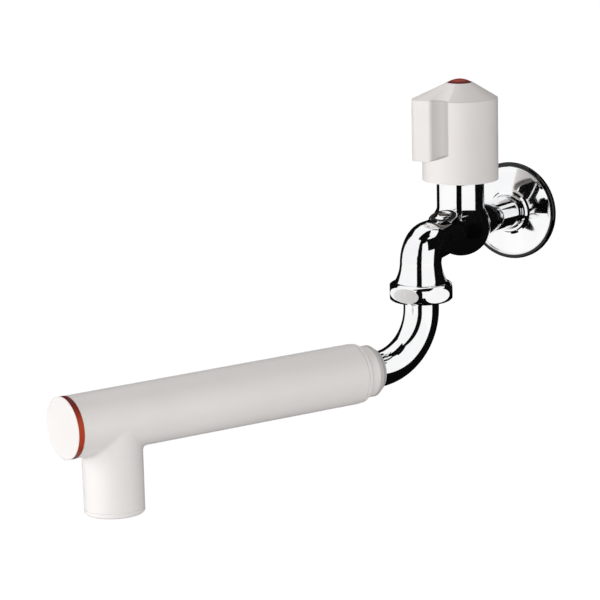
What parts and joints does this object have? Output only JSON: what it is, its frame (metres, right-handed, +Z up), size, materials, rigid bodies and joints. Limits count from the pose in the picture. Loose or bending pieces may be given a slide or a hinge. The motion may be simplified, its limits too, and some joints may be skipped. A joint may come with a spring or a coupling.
{
  "type": "swivel spout wall tap",
  "caption": "Wall-mounted bib tap with a turning plastic handle, a chromed swivel pipe and a thick plastic filter arm with a downward outlet.",
  "frame": {"origin": "on the axis of the inlet thread, in the plane of the wall", "axes": "+Y into the wall along the inlet thread, +Z up along the valve axis, +X to the right for a person who faces the wall"},
  "size_m": [0.1458, 0.3434, 0.2083],
  "materials": {
    "chrome": "polished plating",
    "brass": "machined",
    "white_plastic": "satin moulded",
    "red_plastic": "glossy moulded",
    "red_ring_plastic": "satin moulded",
    "rubber": "matt",
    "steel": "turned",
    "natural_plastic": "matt moulded",
    "filter_medium": "wound fibre"
  },
  "bodies": {
    "wall_side": {"body_casting": "chrome", "wall_rosette": "chrome", "elbow_plug": "chrome", "elbow_plug_ring": "rubber", "union_nut": "chrome", "bonnet": "brass", "bonnet_ring": "natural_plastic", "gland_nut": "brass", "spindle_packing": "rubber"},
    "handle_and_spindle": {"handle": "white_plastic", "index_button": "red_plastic", "handle_screw": "steel", "spindle": "brass"},
    "jumper_carriage": {"jumper": "brass", "tap_washer": "rubber", "washer_nut": "brass"},
    "spout": {"spout_pipe": "chrome", "spout_spigot": "brass", "spigot_o_rings": "rubber", "slip_washer": "natural_plastic", "collar_nut": "white_plastic", "compression_ring": "natural_plastic", "pipe_seal": "rubber", "arm_rear_ring": "white_plastic", "arm_housing": "white_plastic", "sealing_ring": "red_ring_plastic", "end_cap": "white_plastic", "cartridge_rear_cap": "natural_plastic", "cartridge_core": "natural_plastic", "cartridge_medium": "filter_medium", "cartridge_front_cap": "natural_plastic", "cartridge_o_ring": "rubber", "flow_straightener": "natural_plastic", "outlet_ring": "white_plastic"}
  },
  "joints": [
    {"name": "handle_turn", "type": "hinge", "parent": "wall_side", "child": "handle_and_spindle", "pos_m": [0, -0.0645, 0.028], "axis": [0, 0, 1], "range_deg": [0, 720]},
    {"name": "jumper_lift", "type": "slide", "parent": "wall_side", "child": "jumper_carriage", "axis": [0, 0, 1], "range_m": [0, 0.005]},
    {"name": "spout_swivel", "type": "hinge", "parent": "wall_side", "child": "spout", "pos_m": [0, -0.1128, -0.028], "axis": [0, 0, 1], "range_deg": [-86, 138]}
  ],
  "couplings": [
    {"joint": "handle_turn", "follows": "jumper_lift", "rad_per_m": 2513.3}
  ]
}
